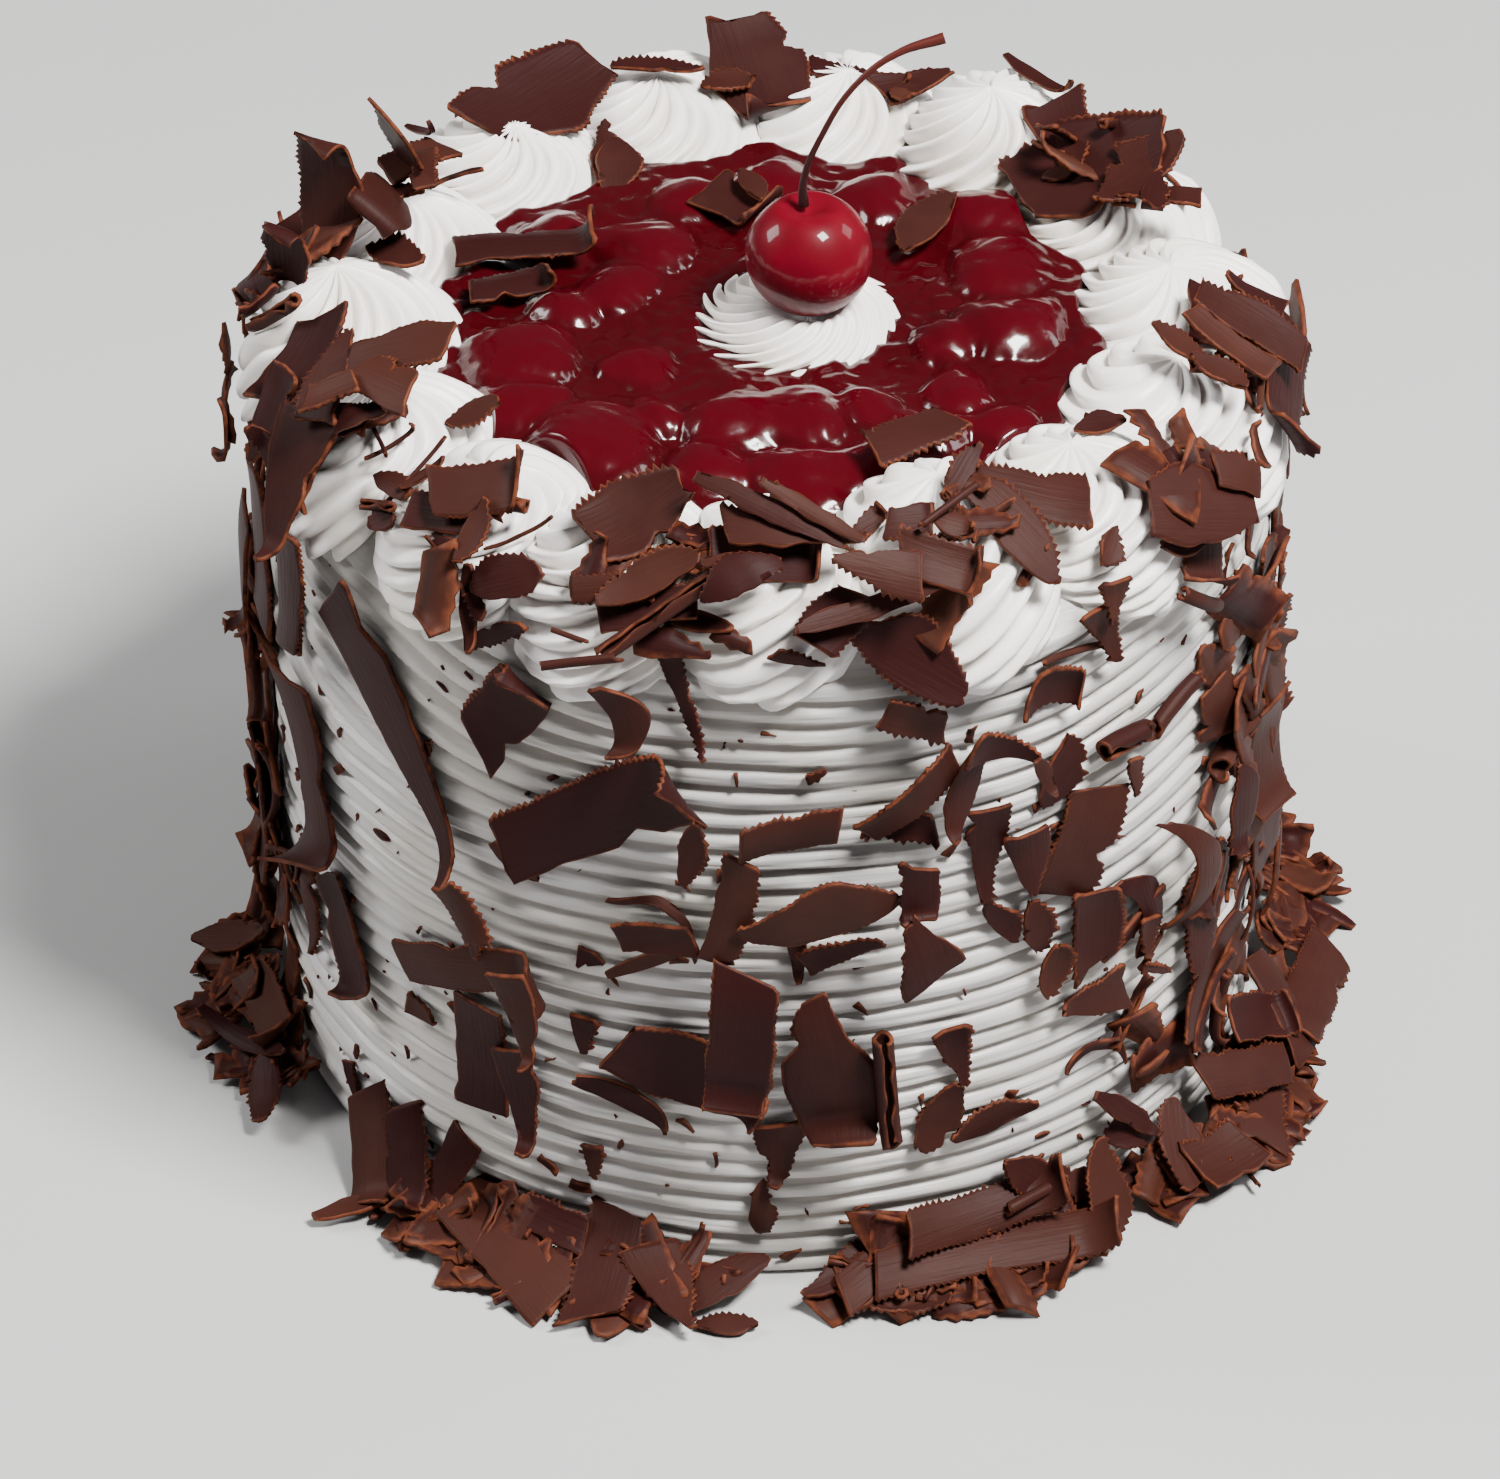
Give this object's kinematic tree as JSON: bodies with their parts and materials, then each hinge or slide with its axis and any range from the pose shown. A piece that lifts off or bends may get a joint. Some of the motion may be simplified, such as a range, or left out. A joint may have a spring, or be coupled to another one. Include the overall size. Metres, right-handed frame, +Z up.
{
  "type": "black forest chocolate cake",
  "caption": "Tall round chocolate cake in combed whipped cream, with piped rosettes, cherry filling, a crowning cherry and curled chocolate shavings.",
  "frame": {"origin": "centre of the cake's flat base", "axes": "+Z up; -Y faces the front, the side that the picture shows"},
  "size_m": [0.2216, 0.2137, 0.2011],
  "materials": {
    "cream": "whipped cream, matte with a faint sheen",
    "chocolate": "dark chocolate shavings, matte with paler ragged edges",
    "cherry_gel": "wet, clear deep red cherry filling",
    "cherry_skin": "glossy red cherry",
    "stalk": "thin dark red stem"
  },
  "bodies": {
    "root": {"centre_rosette": "cream", "cherry": "cherry_skin", "cherry_filling": "cherry_gel", "cherry_stem": "stalk", "foot_shavings_back": "chocolate", "foot_shavings_back_left": "chocolate", "foot_shavings_front": "chocolate", "foot_shavings_front_left": "chocolate", "foot_shavings_left": "chocolate", "foot_shavings_right": "chocolate", "foot_shavings_right_back": "chocolate", "iced_cake": "cream", "rim_shavings_back_left": "chocolate", "rim_shavings_back_left_low": "chocolate", "rim_shavings_back_right": "chocolate", "rim_shavings_front": "chocolate", "rim_shavings_front_left": "chocolate", "rim_shavings_front_right": "chocolate", "rim_shavings_left": "chocolate", "rim_shavings_left_back": "chocolate", "rim_shavings_right": "chocolate", "rim_shavings_right_back": "chocolate", "rim_shavings_right_front": "chocolate", "rim_shavings_right_upper": "chocolate", "rosette_01": "cream", "rosette_02": "cream", "rosette_03": "cream", "rosette_04": "cream", "rosette_05": "cream", "rosette_06": "cream", "rosette_07": "cream", "rosette_08": "cream", "rosette_09": "cream", "rosette_10": "cream", "rosette_11": "cream", "rosette_12": "cream", "rosette_13": "cream", "rosette_14": "cream", "rosette_15": "cream", "side_shaving_01": "chocolate", "side_shaving_02": "chocolate", "side_shaving_03": "chocolate", "side_shaving_04": "chocolate", "side_shaving_05": "chocolate", "side_shaving_06": "chocolate", "side_shaving_07": "chocolate", "side_shaving_08": "chocolate", "side_shaving_09": "chocolate", "side_shaving_10": "chocolate", "side_shaving_11": "chocolate", "side_shaving_12": "chocolate", "side_shaving_13": "chocolate", "side_shaving_14": "chocolate", "side_shaving_15": "chocolate", "side_shaving_16": "chocolate", "side_shaving_17": "chocolate", "side_shaving_18": "chocolate", "side_shaving_19": "chocolate"}
  },
  "joints": []
}
